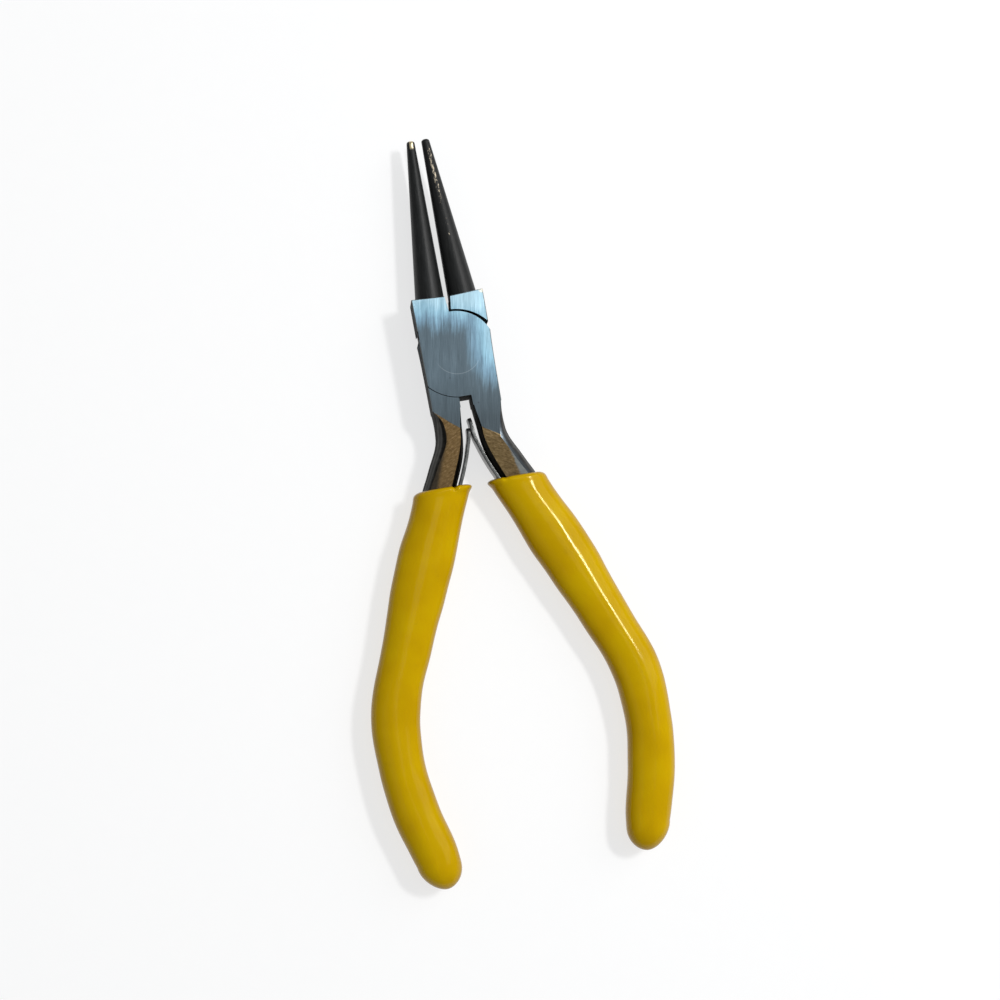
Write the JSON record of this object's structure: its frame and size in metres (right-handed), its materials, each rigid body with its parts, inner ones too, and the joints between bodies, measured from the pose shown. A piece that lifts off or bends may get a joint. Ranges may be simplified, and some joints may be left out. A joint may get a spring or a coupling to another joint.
{
  "type": "round nose pliers",
  "caption": "Small lap-joint pliers with smooth tapered round jaws, opposed leaf springs and bowed sleeved handles, for looping wire.",
  "frame": {"origin": "on the pivot axis, at the underside of the head, where the rivet's lower head is flush with it", "axes": "+Y from the pivot towards the jaw tips, +Z along the pivot axis, up through the head, +X to the right seen from above"},
  "size_m": [0.0492, 0.125, 0.0075],
  "materials": {
    "forged_steel": "ground and brushed head, blackened jaws, polished shanks",
    "rivet_steel": "ground flush and brushed",
    "spring_steel": "hardened strip, smooth",
    "grip_sleeve": "glossy soft PVC"
  },
  "bodies": {
    "front": {"front_half": "forged_steel", "pivot_rivet": "rivet_steel", "right_grip": "grip_sleeve", "right_leaf_spring": "spring_steel", "right_spring_rivet": "rivet_steel"},
    "rear": {"rear_half": "forged_steel", "left_grip": "grip_sleeve", "left_leaf_spring": "spring_steel", "left_spring_rivet": "rivet_steel"}
  },
  "joints": [
    {"name": "jaw_pivot", "type": "hinge", "parent": "front", "child": "rear", "pos_m": [0, 0, 0], "axis": [0, 0, -1], "range_deg": [-1.68, 22], "stiffness_Nm_per_rad": 0.35, "springref_deg": 17.76, "deforming": ["right_leaf_spring", "left_leaf_spring"]}
  ]
}
